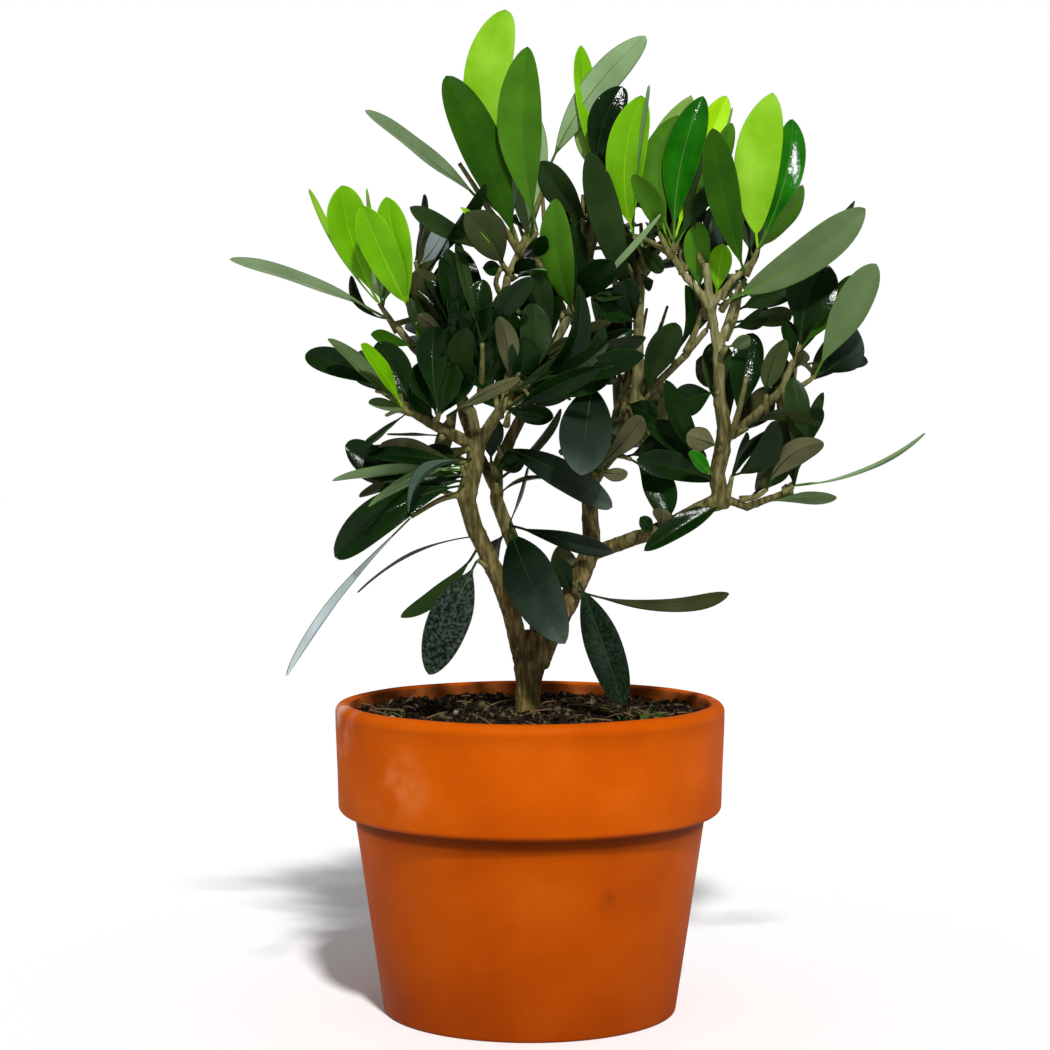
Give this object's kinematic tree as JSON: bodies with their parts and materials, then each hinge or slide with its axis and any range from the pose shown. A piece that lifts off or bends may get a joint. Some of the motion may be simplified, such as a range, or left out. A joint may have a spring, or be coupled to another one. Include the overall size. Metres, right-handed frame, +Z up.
{
  "type": "potted olive tree",
  "caption": "Young olive tree with forked woody stems and long leaves, in a tapered clay pot with a wide collar.",
  "frame": {"origin": "centre of the pot's flat underside, on the pot's axis", "axes": "+Z up along the pot's axis; -Y the tree's front; +X to the right as seen from the front"},
  "size_m": [0.267, 0.181, 0.384],
  "materials": {
    "terracotta": "satin, mottled fired clay",
    "compost": "matt, crumbly",
    "bark": "matt, rough",
    "mature_leaves": "satin, with a waxy gloss",
    "young_leaves": "satin"
  },
  "bodies": {
    "root": {"bough_back_left": "bark", "bough_back_right": "bark", "bough_back_top": "bark", "bough_cross": "bark", "bough_left": "bark", "bough_left_arm": "bark", "bough_left_inner": "bark", "bough_left_leader": "bark", "bough_middle": "bark", "bough_right": "bark", "bough_right_back": "bark", "bough_right_inner": "bark", "bough_right_leader": "bark", "bough_right_low": "bark", "bough_right_outer": "bark", "bough_right_side": "bark", "bough_right_upright": "bark", "bough_second": "bark", "bough_top": "bark", "foliage_back_left": "mature_leaves", "foliage_back_right": "mature_leaves", "foliage_back_top": "mature_leaves", "foliage_centre": "mature_leaves", "foliage_centre_low": "mature_leaves", "foliage_centre_right": "mature_leaves", "foliage_core_left": "mature_leaves", "foliage_crest": "mature_leaves", "foliage_inner_top": "mature_leaves", "foliage_left": "mature_leaves", "foliage_left_droop": "mature_leaves", "foliage_left_shelf": "mature_leaves", "foliage_low_centre": "mature_leaves", "foliage_low_left": "mature_leaves", "foliage_low_right": "mature_leaves", "foliage_right": "mature_leaves", "foliage_right_inner": "mature_leaves", "foliage_right_low": "mature_leaves", "foliage_top_centre": "mature_leaves", "foliage_top_left": "young_leaves", "foliage_top_right": "young_leaves", "foliage_upper_left": "young_leaves", "pot": "terracotta", "soil": "compost", "stem_right": "bark", "trunk": "bark"}
  },
  "joints": []
}
